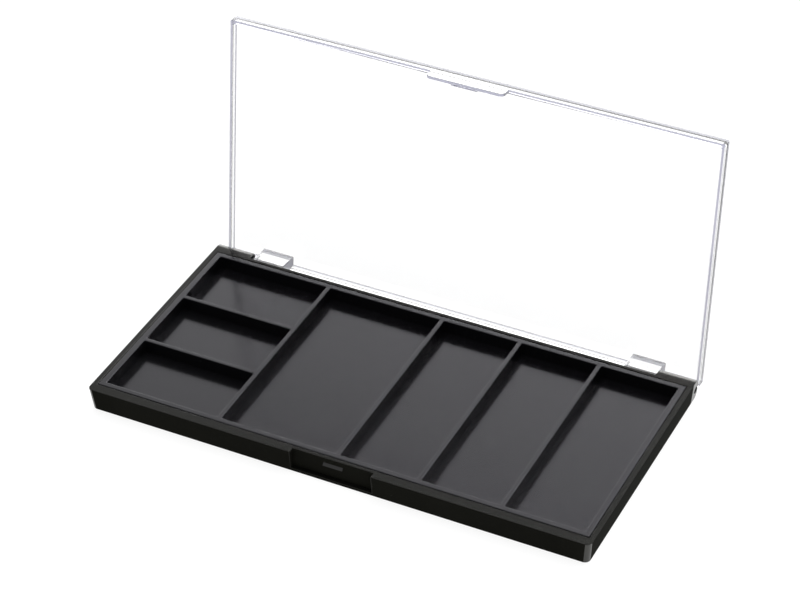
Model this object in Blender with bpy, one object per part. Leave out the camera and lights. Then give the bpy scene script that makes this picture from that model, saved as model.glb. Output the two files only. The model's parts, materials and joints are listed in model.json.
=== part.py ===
"""Watercolour pan palette: a shallow black tray, a moulded insert with seven wells and a clear hinged lid.

+X is to the user's right, +Y towards the hinge and +Z up. The origin is the centre of the tray's underside.
The lid stands open, leaning back on its stop, and turns about the two hinge pins to close.
"""

import math

import bmesh
import bpy
from mathutils import Matrix, Vector

MM = 0.001

# Tray, without its hinge knuckles.
TRAY_WIDTH = 180.0 * MM
TRAY_DEPTH = 86.5 * MM
TRAY_HEIGHT = 8.4 * MM
DRAFT = 0.8 * MM  # the front and side walls lean in by this much at the bottom
CORNER_RADIUS = 2.0 * MM
FLOOR = 1.2 * MM
SIDE_WALL = 1.8 * MM
FRONT_WALL = 3.6 * MM
REAR_WALL = 1.4 * MM

# Knuckles, at the two ends of the tray's rear wall.
KNUCKLE_WIDTH = 13.5 * MM
KNUCKLE_DEPTH = 4.9 * MM
KNUCKLE_TOP_RADIUS = 3.4 * MM
KNUCKLE_BOTTOM_RADIUS = 2.0 * MM

# Hinge axis, from the knuckles' rear face and from the surface that the tray stands on.
AXIS_INSET = 2.0 * MM
AXIS_HEIGHT = 4.0 * MM
OPEN_LEAN = math.radians(7.0)  # past upright
PIN_RADIUS = 0.8 * MM
PIN_RECESS = 1.0 * MM  # from the knuckle's outer side to the pin's end
PIN_HOLE_CLEARANCE = 0.04 * MM  # radial, in the knuckle
LUG_HOLE_CLEARANCE = 0.08 * MM  # radial, in the lid's lug
PIN_MOUTH_RADIUS = 1.2 * MM
PIN_MOUTH_DEPTH = 0.8 * MM

# Well insert.
SEAM = 0.25 * MM  # all round, between the insert and the tray's walls
SEAT_GAP = 0.3 * MM  # under the insert's skirt
INSERT_RIM_SIDE = 2.4 * MM
INSERT_RIM_END = 2.2 * MM
DIVIDER = 1.6 * MM
WIDE_WELL = 41.7 * MM
SMALL_WELL_ROWS = 3
NARROW_WELLS = 3
WELL_FLOOR = 1.2 * MM
UNDERSIDE_RELIEF = 1.0 * MM  # height of the hollows under the wells' floors
WELL_CORNER_RADIUS = 0.4 * MM
SKIRT = 1.2 * MM
RIB = 1.6 * MM

# Finger recess and catch, in the middle of the front wall.
RECESS_WIDTH = 29.0 * MM
RECESS_DEPTH = 2.4 * MM
RECESS_LEDGE = 1.2 * MM
NUB_WIDTH = 7.0 * MM
NUB_REACH = 0.6 * MM
NUB_DROP = 2.0 * MM  # from the tray's top to the top of the nub's slope
NUB_HEIGHT = 1.3 * MM
NUB_LIP = 0.3 * MM  # from the nub's underside up to its apex

# Lid, as it lies closed.
LID_SIDE_INSET = 0.85 * MM
LID_FRONT_INSET = 0.1 * MM
LID_REAR_INSET = 0.1 * MM
LID_GAP = 0.15 * MM  # between the lid's rim and the tray's top
LID_PLATE = 1.5 * MM
LID_RIM_WIDTH = 1.3 * MM
LID_RIM_HEIGHT = 2.35 * MM
LID_CORNER_RADIUS = 0.8 * MM
LID_REAR_RADIUS = 1.2 * MM

# Lugs, the lid's half of the hinge.
LUG_WIDTH = 11.7 * MM
LUG_SIDE_GAP = 0.5 * MM
STOP_GAP = 0.07 * MM  # between the lug's heel and the tray's rear wall, with the lid open

# Tongue, the lid's half of the catch.
TONGUE_SIDE_GAP = 0.35 * MM
TONGUE_DROP = 4.1 * MM
TONGUE_THICKNESS = 1.1 * MM
TONGUE_RADIUS = 2.0 * MM
BEAD_WIDTH = 9.5 * MM
BEAD_HEIGHT = 0.9 * MM
CATCH_CLEARANCE = 0.15 * MM  # between the bead and the nub as they pass

OVERRUN = 1.0 * MM  # how far a cutter runs past the face that it opens
ARC_STEPS = 6
CORNER_STEPS = 3
FLOOR_EDGE_STEPS = 2
ROUND_SIDES = 32
SHARP_ANGLE = math.radians(30)
WELD_DISTANCE = 1e-7

FRONT_Y = -TRAY_DEPTH / 2
REAR_Y = TRAY_DEPTH / 2
KNUCKLE_REAR_Y = REAR_Y + KNUCKLE_DEPTH
AXIS = Vector((0.0, KNUCKLE_REAR_Y - AXIS_INSET, AXIS_HEIGHT))
CAVITY_X = TRAY_WIDTH / 2 - SIDE_WALL
CAVITY_FRONT_Y = FRONT_Y + FRONT_WALL
CAVITY_REAR_Y = REAR_Y - REAR_WALL
INSERT_BOTTOM = FLOOR + SEAT_GAP
RELIEF_TOP = INSERT_BOTTOM + UNDERSIDE_RELIEF
WELL_BOTTOM = RELIEF_TOP + WELL_FLOOR

LID_X = TRAY_WIDTH / 2 - LID_SIDE_INSET
LID_FRONT_Y = FRONT_Y + LID_FRONT_INSET
LID_REAR_Y = KNUCKLE_REAR_Y - LID_REAR_INSET
LID_BOTTOM = TRAY_HEIGHT + LID_GAP
LID_INNER = LID_BOTTOM + LID_RIM_HEIGHT
LID_TOP = LID_INNER + LID_PLATE
LUG_OUTER_X = TRAY_WIDTH / 2 - KNUCKLE_WIDTH - LUG_SIDE_GAP
LUG_INNER_X = LUG_OUTER_X - LUG_WIDTH

# The lug's lower rear corner, its heel, meets the tray's rear wall when the lid leans back by OPEN_LEAN.
HEEL_BACK = LID_REAR_Y - AXIS.y
AXIS_TO_WALL = AXIS.y - REAR_Y
HEEL_DROP = (AXIS_TO_WALL - STOP_GAP - HEEL_BACK * math.sin(OPEN_LEAN)) / math.cos(OPEN_LEAN)


def clear_scene():
    for old in list(bpy.data.objects):
        bpy.data.objects.remove(old, do_unlink=True)


def new_collection(name):
    collection = bpy.data.collections.new(name)
    bpy.context.scene.collection.children.link(collection)
    return collection


def material(name, colour, roughness, metallic=0.0, transmission=0.0):
    made = bpy.data.materials.new(name)
    made.use_nodes = True
    shader = made.node_tree.nodes["Principled BSDF"]
    shader.inputs["Base Color"].default_value = (*colour, 1.0)
    shader.inputs["Roughness"].default_value = roughness
    shader.inputs["Metallic"].default_value = metallic
    shader.inputs["Transmission Weight"].default_value = transmission
    return made


def add_object(name, mesh, collection):
    made = bpy.data.objects.new(name, mesh)
    collection.objects.link(made)
    return made


def mesh_from(name, bm):
    bmesh.ops.recalc_face_normals(bm, faces=bm.faces)
    mesh = bpy.data.meshes.new(name)
    bm.to_mesh(mesh)
    bm.free()
    return mesh


def box_bmesh(low, high):
    """A box between two corners."""
    bm = bmesh.new()
    bmesh.ops.create_cube(bm, size=1.0)
    size = Vector(high) - Vector(low)
    for vert in bm.verts:
        share = vert.co + Vector((0.5, 0.5, 0.5))
        vert.co = Vector(low) + Vector((share.x * size.x, share.y * size.y, share.z * size.z))
    return bm


def box(name, low, high, collection):
    return add_object(name, mesh_from(name, box_bmesh(low, high)), collection)


def bevel(bm, edges, radius, segments):
    bmesh.ops.bevel(
        bm, geom=edges, offset=radius, offset_type="OFFSET", segments=segments, profile=0.5, affect="EDGES"
    )


def uprights(bm, least):
    """The edges that rise by more than the least height."""
    return [edge for edge in bm.edges if abs(edge.verts[0].co.z - edge.verts[1].co.z) > least]


def round_edges(bm, radius, segments, chosen):
    """Rounds each edge whose two ends both pass the test."""
    edges = [edge for edge in bm.edges if chosen(edge.verts[0].co) and chosen(edge.verts[1].co)]
    bevel(bm, edges, radius, segments)


def arc(centre, radius, start, end):
    """Points along an arc, with the angles in degrees."""
    points = []
    for step in range(ARC_STEPS + 1):
        angle = math.radians(start + (end - start) * step / ARC_STEPS)
        points.append((centre[0] + radius * math.cos(angle), centre[1] + radius * math.sin(angle)))
    return points


ALONG_X = Matrix(((0, 0, 1, 0), (1, 0, 0, 0), (0, 1, 0, 0), (0, 0, 0, 1)))  # outline in (y, z)
ALONG_Y = Matrix(((1, 0, 0, 0), (0, 0, -1, 0), (0, 1, 0, 0), (0, 0, 0, 1)))  # outline in (x, z)


def extrusion(name, outline, middle, thickness, turn, collection):
    """A flat outline given a thickness along X or Y, centred on a point of that axis."""
    curve = bpy.data.curves.new(name, "CURVE")
    curve.dimensions = "2D"
    curve.fill_mode = "BOTH"
    curve.extrude = thickness / 2
    spline = curve.splines.new("POLY")
    spline.points.add(len(outline) - 1)
    for point, (across, up) in zip(spline.points, outline):
        point.co = (across, up, 0.0, 1.0)
    spline.use_cyclic_u = True
    guide = add_object(name + "_outline", curve, collection)
    graph = bpy.context.evaluated_depsgraph_get()
    flat = bpy.data.meshes.new_from_object(guide.evaluated_get(graph))
    bpy.data.objects.remove(guide)
    bm = bmesh.new()
    bm.from_mesh(flat)
    bmesh.ops.remove_doubles(bm, verts=bm.verts, dist=WELD_DISTANCE)
    bmesh.ops.transform(bm, matrix=turn, verts=bm.verts)
    bmesh.ops.translate(bm, vec=middle, verts=bm.verts)
    return add_object(name, mesh_from(name, bm), collection)


def cylinder_x(name, radius, x_low, x_high, collection):
    """A cylinder on the hinge axis, from one X to another."""
    bm = bmesh.new()
    bmesh.ops.create_cone(
        bm, cap_ends=True, segments=ROUND_SIDES, radius1=radius, radius2=radius, depth=x_high - x_low
    )
    made = add_object(name, mesh_from(name, bm), collection)
    made.rotation_euler.y = math.pi / 2
    made.location = ((x_low + x_high) / 2, AXIS.y, AXIS.z)
    return made


def boolean(target, tool, operation):
    modifier = target.modifiers.new(tool.name, "BOOLEAN")
    modifier.object = tool
    modifier.operation = operation
    tool.hide_render = True
    tool.display_type = "WIRE"


def shade(target, finish):
    target.data.materials.clear()
    target.data.materials.append(finish)
    target.data.shade_smooth()
    target.data.set_sharp_from_angle(angle=SHARP_ANGLE)


def applied(target):
    """The object with its modifiers turned into plain mesh."""
    graph = bpy.context.evaluated_depsgraph_get()
    mesh = bpy.data.meshes.new_from_object(target.evaluated_get(graph))
    target.modifiers.clear()
    target.data = mesh
    return target


def lean_in(bm, outer_x, front_y=None):
    """Draws the outer side faces, and the front face where there is one, in at the bottom."""
    for vert in bm.verts:
        if vert.co.z > TRAY_HEIGHT / 2:
            continue
        if math.isclose(abs(vert.co.x), outer_x, abs_tol=WELD_DISTANCE):
            vert.co.x -= math.copysign(DRAFT, vert.co.x)
        if front_y is not None and math.isclose(vert.co.y, front_y, abs_tol=WELD_DISTANCE):
            vert.co.y += DRAFT


def knuckle(side, cutters):
    """One knuckle block, rooted inside the tray's rear wall."""
    outer_x = TRAY_WIDTH / 2
    spans = sorted((side * outer_x, side * (outer_x - KNUCKLE_WIDTH)))
    bm = box_bmesh((spans[0], REAR_Y - REAR_WALL / 2, 0.0), (spans[1], KNUCKLE_REAR_Y, TRAY_HEIGHT))
    lean_in(bm, outer_x)
    rear = KNUCKLE_REAR_Y - WELD_DISTANCE
    round_edges(bm, KNUCKLE_TOP_RADIUS, ARC_STEPS, lambda co: co.y > rear and co.z > TRAY_HEIGHT / 2)
    round_edges(bm, KNUCKLE_BOTTOM_RADIUS, ARC_STEPS, lambda co: co.y > rear and co.z < WELD_DISTANCE)
    name = "knuckle_left" if side < 0 else "knuckle_right"
    return add_object(name, mesh_from(name, bm), cutters)


def pin_span(side):
    """The two X ends of the pin on one side, outer end first."""
    outer = TRAY_WIDTH / 2 - PIN_RECESS
    inner = LUG_INNER_X + PIN_RECESS / 2
    return side * outer, side * inner


def make_base_shell(parts, cutters, finish):
    bm = box_bmesh((-TRAY_WIDTH / 2, FRONT_Y, 0.0), (TRAY_WIDTH / 2, REAR_Y, TRAY_HEIGHT))
    lean_in(bm, TRAY_WIDTH / 2, FRONT_Y)
    corners = [edge for edge in uprights(bm, TRAY_HEIGHT / 2) if all(vert.co.y < 0 for vert in edge.verts)]
    bevel(bm, corners, CORNER_RADIUS, ARC_STEPS)
    shell = add_object("base_shell", mesh_from("base_shell", bm), parts)
    for side in (-1, 1):
        boolean(shell, knuckle(side, cutters), "UNION")
    cavity = box(
        "tray_cavity",
        (-CAVITY_X, CAVITY_FRONT_Y, FLOOR),
        (CAVITY_X, CAVITY_REAR_Y, TRAY_HEIGHT + OVERRUN),
        cutters,
    )
    boolean(shell, cavity, "DIFFERENCE")
    recess = box(
        "finger_recess",
        (-RECESS_WIDTH / 2, FRONT_Y - OVERRUN, RECESS_LEDGE),
        (RECESS_WIDTH / 2, FRONT_Y + RECESS_DEPTH, TRAY_HEIGHT + OVERRUN),
        cutters,
    )
    boolean(shell, recess, "DIFFERENCE")
    back = FRONT_Y + RECESS_DEPTH
    root = back + (FRONT_WALL - RECESS_DEPTH) / 2
    top = TRAY_HEIGHT - NUB_DROP
    bottom = top - NUB_HEIGHT
    apex = (back - NUB_REACH, bottom + NUB_LIP)
    nub_outline = [(root, bottom), (back, bottom), apex, (back, top), (root, top)]
    nub = extrusion("catch_nub", nub_outline, (0.0, 0.0, 0.0), NUB_WIDTH, ALONG_X, cutters)
    boolean(shell, nub, "UNION")
    for side in (-1, 1):
        label = "left" if side < 0 else "right"
        outer = TRAY_WIDTH / 2
        inner = outer - KNUCKLE_WIDTH - LUG_SIDE_GAP / 2
        ends = sorted((side * (outer + OVERRUN), side * inner))
        hole = cylinder_x("pin_hole_" + label, PIN_RADIUS + PIN_HOLE_CLEARANCE, *ends, cutters)
        boolean(shell, hole, "DIFFERENCE")
        ends = sorted((side * (outer + OVERRUN), side * (outer - PIN_MOUTH_DEPTH)))
        mouth = cylinder_x("pin_mouth_" + label, PIN_MOUTH_RADIUS, *ends, cutters)
        boolean(shell, mouth, "DIFFERENCE")
    shade(shell, finish)
    return shell


def well_columns():
    """The X span and the number of rows of each column of wells, left to right."""
    low = -CAVITY_X + INSERT_RIM_SIDE
    span = 2 * (CAVITY_X - INSERT_RIM_SIDE)
    narrow = (span - 2 * WIDE_WELL - (NARROW_WELLS + 1) * DIVIDER) / NARROW_WELLS
    widths = [WIDE_WELL, WIDE_WELL] + [narrow] * NARROW_WELLS
    rows = [SMALL_WELL_ROWS] + [1] * (NARROW_WELLS + 1)
    columns = []
    for width, count in zip(widths, rows):
        columns.append((low, low + width, count))
        low += width + DIVIDER
    return columns


def well_cells():
    """The X and Y span of each well."""
    front = CAVITY_FRONT_Y + INSERT_RIM_END
    rear = CAVITY_REAR_Y - INSERT_RIM_END
    cells = []
    for left, right, count in well_columns():
        depth = (rear - front - (count - 1) * DIVIDER) / count
        for row in range(count):
            near = front + row * (depth + DIVIDER)
            cells.append((left, right, near, near + depth))
    return cells


def make_well_insert(parts, cutters, finish):
    low = (-CAVITY_X + SEAM, CAVITY_FRONT_Y + SEAM, INSERT_BOTTOM)
    high = (CAVITY_X - SEAM, CAVITY_REAR_Y - SEAM, TRAY_HEIGHT)
    insert = box("well_insert", low, high, parts)
    for index, (left, right, near, far) in enumerate(well_cells(), 1):
        bm = box_bmesh((left, near, WELL_BOTTOM), (right, far, TRAY_HEIGHT + OVERRUN))
        bevel(bm, uprights(bm, OVERRUN), WELL_CORNER_RADIUS, CORNER_STEPS)
        middle = (WELL_BOTTOM + TRAY_HEIGHT) / 2
        round_edges(bm, WELL_CORNER_RADIUS / 2, FLOOR_EDGE_STEPS, lambda co: co.z < middle)
        name = f"well_{index}"
        boolean(insert, add_object(name, mesh_from(name, bm), cutters), "DIFFERENCE")
    columns = well_columns()
    edges = [low[0] + SKIRT]
    for before, after in zip(columns, columns[1:]):
        middle = (before[1] + after[0]) / 2
        edges += [middle - RIB / 2, middle + RIB / 2]
    edges.append(high[0] - SKIRT)
    for index in range(len(columns)):
        relief = box(
            f"underside_relief_{index + 1}",
            (edges[2 * index], low[1] + SKIRT, INSERT_BOTTOM - OVERRUN),
            (edges[2 * index + 1], high[1] - SKIRT, RELIEF_TOP),
            cutters,
        )
        boolean(insert, relief, "DIFFERENCE")
    shade(insert, finish)
    return insert


def lug_outline():
    """The lug from the side, closed: a half barrel round the pin in front, and a square heel behind."""
    top = (LID_INNER + LID_TOP) / 2
    outline = [(AXIS.y - HEEL_DROP, top)]
    outline += arc((AXIS.y, AXIS.z), HEEL_DROP, 180, 270)
    outline += [(LID_REAR_Y, AXIS.z - HEEL_DROP), (LID_REAR_Y, top)]
    return outline


def tongue_outline():
    """The tongue from the front: a tab with two round lower corners."""
    half = RECESS_WIDTH / 2 - TONGUE_SIDE_GAP
    bottom = LID_BOTTOM - TONGUE_DROP
    top = LID_BOTTOM + LID_RIM_HEIGHT / 2
    outline = [(half, top), (-half, top)]
    outline += arc((-half + TONGUE_RADIUS, bottom + TONGUE_RADIUS), TONGUE_RADIUS, 180, 270)
    outline += arc((half - TONGUE_RADIUS, bottom + TONGUE_RADIUS), TONGUE_RADIUS, 270, 360)
    return outline


def bead_outline():
    """The bead on the tongue's inner face, which passes under the tray's nub."""
    face = LID_FRONT_Y + TONGUE_THICKNESS
    reach = FRONT_Y + RECESS_DEPTH - NUB_REACH - CATCH_CLEARANCE
    bottom = LID_BOTTOM - TONGUE_DROP
    root = face - TONGUE_THICKNESS / 2
    middle = bottom + BEAD_HEIGHT / 2
    return [
        (root, bottom),
        (face, bottom),
        (reach, middle - BEAD_HEIGHT / 8),
        (reach, middle + BEAD_HEIGHT / 8),
        (face, bottom + BEAD_HEIGHT),
        (root, bottom + BEAD_HEIGHT),
    ]


def make_lid(parts, cutters, finish):
    bm = box_bmesh((-LID_X, LID_FRONT_Y, LID_BOTTOM), (LID_X, LID_REAR_Y, LID_TOP))
    bevel(bm, uprights(bm, LID_PLATE), LID_CORNER_RADIUS, CORNER_STEPS)
    rear = LID_REAR_Y - WELD_DISTANCE
    round_edges(bm, LID_REAR_RADIUS, ARC_STEPS, lambda co: co.y > rear and co.z > LID_INNER)
    lid = add_object("lid", mesh_from("lid", bm), parts)
    tray = box(
        "lid_hollow",
        (-LID_X + LID_RIM_WIDTH, LID_FRONT_Y + LID_RIM_WIDTH, LID_BOTTOM - OVERRUN),
        (LID_X - LID_RIM_WIDTH, LID_REAR_Y - LID_RIM_WIDTH, LID_INNER),
        cutters,
    )
    boolean(lid, tray, "DIFFERENCE")
    for side in (-1, 1):
        label = "left" if side < 0 else "right"
        middle = side * (LUG_INNER_X + LUG_OUTER_X) / 2
        lug = extrusion("lug_" + label, lug_outline(), (middle, 0.0, 0.0), LUG_WIDTH, ALONG_X, cutters)
        boolean(lid, lug, "UNION")
    middle = LID_FRONT_Y + TONGUE_THICKNESS / 2
    tongue = extrusion(
        "tongue", tongue_outline(), (0.0, middle, 0.0), TONGUE_THICKNESS, ALONG_Y, cutters
    )
    boolean(lid, tongue, "UNION")
    bead = extrusion("tongue_bead", bead_outline(), (0.0, 0.0, 0.0), BEAD_WIDTH, ALONG_X, cutters)
    boolean(lid, bead, "UNION")
    for side in (-1, 1):
        label = "left" if side < 0 else "right"
        ends = sorted((side * (LUG_INNER_X - OVERRUN), side * (LUG_OUTER_X + LUG_SIDE_GAP / 2)))
        hole = cylinder_x("lug_hole_" + label, PIN_RADIUS + LUG_HOLE_CLEARANCE, *ends, cutters)
        boolean(lid, hole, "DIFFERENCE")
    applied(lid)
    lid.data.transform(Matrix.Translation(-AXIS))
    shade(lid, finish)
    hinge = bpy.data.objects.new("lid_hinge_axis", None)
    hinge.empty_display_size = TRAY_HEIGHT
    parts.objects.link(hinge)
    hinge.location = AXIS
    hinge.rotation_euler.x = -(math.pi / 2 + OPEN_LEAN)
    lid.parent = hinge
    return lid


def make_hinge_pins(parts, finish):
    for side, name in ((-1, "hinge_pin_left"), (1, "hinge_pin_right")):
        pin = cylinder_x(name, PIN_RADIUS, *sorted(pin_span(side)), parts)
        shade(pin, finish)


def main():
    clear_scene()
    parts = new_collection("watercolour_palette")
    cutters = new_collection("cutters")
    black = (0.006, 0.006, 0.006)
    make_base_shell(parts, cutters, material("tray_black_plastic", black, 0.25))
    make_well_insert(parts, cutters, material("insert_black_plastic", black, 0.12))
    clear = (0.95, 0.96, 0.98)
    make_lid(parts, cutters, material("lid_clear_plastic", clear, 0.05, transmission=1.0))
    make_hinge_pins(parts, material("pin_steel", (0.55, 0.55, 0.56), 0.3, metallic=1.0))


main()
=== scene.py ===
"""Looks for the watercolour palette box: glossy black tray and well insert, clear lid, steel hinge pins.

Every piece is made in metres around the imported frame. The tray is made from its own box in the frame, and the
lid is made as it lies closed and then swung open about the hinge joint, to the frame's rest pose.
"""

import json
import math

import bmesh
import bpy
from mathutils import Matrix, Vector


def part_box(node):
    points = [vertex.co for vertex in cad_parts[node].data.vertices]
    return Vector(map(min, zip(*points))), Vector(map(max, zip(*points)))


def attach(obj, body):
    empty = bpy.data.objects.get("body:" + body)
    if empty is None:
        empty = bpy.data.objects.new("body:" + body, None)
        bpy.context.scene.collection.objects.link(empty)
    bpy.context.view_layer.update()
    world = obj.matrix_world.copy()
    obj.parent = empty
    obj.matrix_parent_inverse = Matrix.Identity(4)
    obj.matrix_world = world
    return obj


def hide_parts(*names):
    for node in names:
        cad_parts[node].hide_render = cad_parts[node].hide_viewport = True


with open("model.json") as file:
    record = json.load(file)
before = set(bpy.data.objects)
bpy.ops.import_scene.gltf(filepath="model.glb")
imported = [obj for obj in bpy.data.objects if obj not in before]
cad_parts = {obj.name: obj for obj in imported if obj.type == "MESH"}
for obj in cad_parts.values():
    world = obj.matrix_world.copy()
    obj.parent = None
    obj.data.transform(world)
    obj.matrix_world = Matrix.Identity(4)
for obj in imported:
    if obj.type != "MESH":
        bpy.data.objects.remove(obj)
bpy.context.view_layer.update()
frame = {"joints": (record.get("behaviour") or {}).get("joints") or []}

bl_info = {
    "name": "Watercolour Palette Box",
    "version": (1, 0, 0),
    "blender": (4, 5, 0),
    "location": "View3D > Sidebar > Palette",
    "description": "Builds the palette's tray, well insert, clear lid and hinge pins, and a plain studio",
    "category": "Add Mesh",
}

MM = 0.001
TRAY_LOW, TRAY_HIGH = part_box("base_shell")
INSERT_LOW, INSERT_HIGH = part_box("well_insert")
PIN_LOW, PIN_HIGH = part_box("hinge_pin_right")
LID_JOINT = next(joint for joint in frame["joints"] if joint["name"] == "lid_hinge")
AXIS = Vector(LID_JOINT["pos_m"])
CLOSING_ANGLE = math.radians(LID_JOINT["range_deg"][1])
OVERRUN = 1.0 * MM
ARC_SEGMENTS = 10
CORNER_SEGMENTS = 5
SHARP_ANGLE = math.radians(32)
SQUARE_ON = 0.97  # a face looks along an axis when its normal is at least this far along it
HAIR = 0.01 * MM
SIDES = ((-1, "left"), (1, "right"))


# ---------------------------------------------------------------- settings


def length(name, description, default, low=0.0, high=1.0):
    return bpy.props.FloatProperty(
        name=name, description=description, default=default, min=low, max=high, unit="LENGTH", precision=5
    )


def share(name, description, default, high=1.0):
    return bpy.props.FloatProperty(
        name=name, description=description, default=default, min=0.0, max=high, subtype="FACTOR"
    )


def colour(name, description, default):
    return bpy.props.FloatVectorProperty(
        name=name, description=description, default=default, min=0.0, max=1.0, size=3, subtype="COLOR"
    )


def number(name, description, default, low=0.0, high=1000.0):
    return bpy.props.FloatProperty(name=name, description=description, default=default, min=low, max=high)


def refraction_index(name, description, default):
    return number(name, description, default, 1.0, 2.0)


def count(name, description, default):
    return bpy.props.IntProperty(name=name, description=description, default=default, min=1, max=6)


def angle(name, description, degrees):
    return bpy.props.FloatProperty(
        name=name, description=description, default=math.radians(degrees), subtype="ANGLE"
    )


class TraySettings(bpy.types.PropertyGroup):
    knuckle_depth: length("Knuckle depth", "How far the hinge knuckles stand behind the rear wall", 4.9 * MM)
    knuckle_width: length("Knuckle width", "Width of each hinge knuckle", 13.5 * MM)
    knuckle_top_radius: length("Knuckle top radius", "Rounding of the knuckle's upper rear edge", 3.4 * MM)
    knuckle_bottom_radius: length("Knuckle bottom radius", "Rounding of the lower rear edge", 2.0 * MM)
    draft: length("Draft", "How far the outer walls lean in at the bottom", 0.8 * MM)
    corner_radius: length("Corner radius", "Radius of the two front corners, seen from above", 2.0 * MM)
    floor: length("Floor", "Thickness of the tray's floor", 1.2 * MM)
    side_wall: length("Side wall", "Thickness of the left and right walls at the rim", 1.8 * MM)
    front_wall: length("Front wall", "Thickness of the front wall at the rim", 3.6 * MM)
    rear_wall: length("Rear wall", "Thickness of the rear wall", 1.4 * MM)
    recess_width: length("Recess width", "Width of the finger recess", 29.0 * MM)
    recess_depth: length("Recess depth", "Depth of the finger recess into the front wall", 2.4 * MM)
    recess_ledge: length("Recess ledge", "Height of the ledge left under the recess", 1.2 * MM)
    nub_width: length("Nub width", "Width of the catch nub in the recess", 7.0 * MM)
    nub_reach: length("Nub reach", "How far the nub stands out of the recess's back wall", 0.6 * MM)
    nub_drop: length("Nub drop", "From the tray's top to the top of the nub's slope", 2.0 * MM)
    nub_height: length("Nub height", "Height of the nub at its root", 1.3 * MM)
    nub_lip: length("Nub lip", "From the nub's underside up to its apex", 0.3 * MM)
    nub_root: length("Nub root", "How far the nub runs into the wall behind it", 0.4 * MM)
    nub_edge: length("Nub edge", "Rounding of the nub's edges", 0.05 * MM)
    pin_clearance: length("Pin clearance", "Radial clearance of the pin in the knuckle", 0.04 * MM)
    pin_mouth: length("Pin mouth", "Radius of the open mouth of the pin's hole", 1.2 * MM)
    pin_mouth_depth: length("Pin mouth depth", "Depth of that mouth", 0.8 * MM)
    edge: length("Edge", "Rounding of the moulded edges", 0.22 * MM)
    tint: colour("Colour", "Colour of the black plastic", (0.0046, 0.0046, 0.0040))
    sheen: colour("Sheen colour", "Colour that the plastic gives what it reflects", (1.0, 1.0, 0.94))
    gloss: share("Roughness", "Roughness of the rim", 0.20)
    shine: share("Shine", "Strength of the rim's reflection", 0.16)
    # The polished knuckle backs, knuckle ends and front corners are a copy of the black plastic with a stronger
    # reflection: painted highlights.
    round_gloss: share("Round roughness", "Roughness of the polished knuckle backs and corners", 0.14)
    painted_highlight_shine: share("Round shine", "Strength of the polished faces' reflection", 0.6)
    # The outer walls are a copy of the black plastic that reflects almost nothing, with a refraction index near
    # 1. This is painted shade on top of a real satin grain.
    painted_shade_wall_tint: colour("Wall colour", "Colour of the satin outer walls", (0.0088, 0.0088, 0.0072))
    wall_gloss: share("Wall roughness", "Roughness of the satin outer walls", 0.38)
    shade_painting_refraction: refraction_index("Wall refraction", "Refraction index of the satin walls", 1.02)


class InsertSettings(bpy.types.PropertyGroup):
    rim_side: length("Side rim", "From the insert's outer edge to the wells, left and right", 2.15 * MM)
    rim_end: length("End rim", "From the insert's outer edge to the wells, front and rear", 1.95 * MM)
    divider: length("Divider", "Thickness of the walls between the wells", 1.6 * MM)
    wide_well: length("Wide well", "Width of the two wide columns", 41.7 * MM)
    well_depth: length("Well depth", "Depth of the wells", 4.7 * MM)
    well_floor: length("Well floor", "Thickness of the floor under the wells", 1.2 * MM)
    corner_radius: length("Corner radius", "Radius of the wells' upright corners", 0.4 * MM)
    edge: length("Edge", "Rounding of the rims and the dividers' tops", 0.34 * MM)
    small_rows: count("Small wells", "Wells in the first column", 3)
    narrow_wells: count("Narrow wells", "Number of narrow wells at the right", 3)
    tint: colour("Colour", "Colour of the black plastic", (0.0034, 0.0034, 0.0040))
    sheen: colour("Sheen colour", "Colour that the plastic gives what it reflects", (0.93, 0.92, 1.0))
    gloss: share("Roughness", "Roughness of the polished well floors and the flat top", 0.18)
    # The wells' walls take a copy of the black plastic that reflects less than the floors do: painted shade.
    wall_gloss: share("Wall roughness", "Roughness of the wells' walls", 0.20)
    painted_shade_shine: share("Wall shine", "Strength of the walls' reflection", 0.15)


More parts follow.
